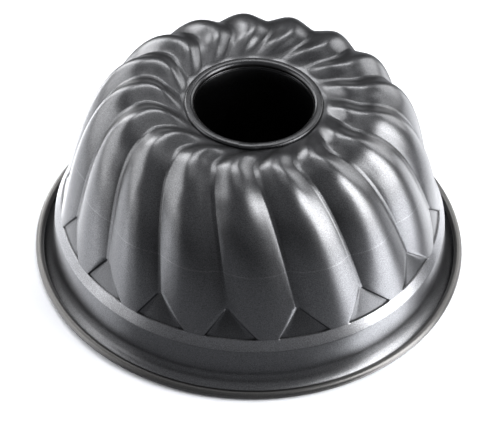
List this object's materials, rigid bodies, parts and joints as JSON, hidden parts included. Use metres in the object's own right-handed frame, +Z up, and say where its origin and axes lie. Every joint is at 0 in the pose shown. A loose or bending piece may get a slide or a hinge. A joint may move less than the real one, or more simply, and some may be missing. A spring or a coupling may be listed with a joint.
{
  "type": "bundt pan",
  "caption": "Ring-cake pan in dark coated sheet steel, with a swirled fluted dome, a collar, a rolled rim and a tapered centre tube; modelled upside down on its rim.",
  "frame": {"origin": "on the tube's axis, in the plane that the rolled rim stands on", "axes": "+Z up along the tube's axis, from the rim to the crown; -Y is the front"},
  "size_m": [0.23, 0.23, 0.1035],
  "materials": {
    "dark_nonstick": "satin dark grey non-stick coating with a fine metallic speckle, on sheet steel",
    "dark_nonstick_tube": "satin dark grey non-stick coating with a fine metallic speckle, on sheet steel",
    "bare_wire": "drawn steel wire, uncoated"
  },
  "bodies": {
    "root": {"fluted_shell": "dark_nonstick", "centre_tube": "dark_nonstick_tube", "rim_wire": "bare_wire"}
  },
  "joints": []
}
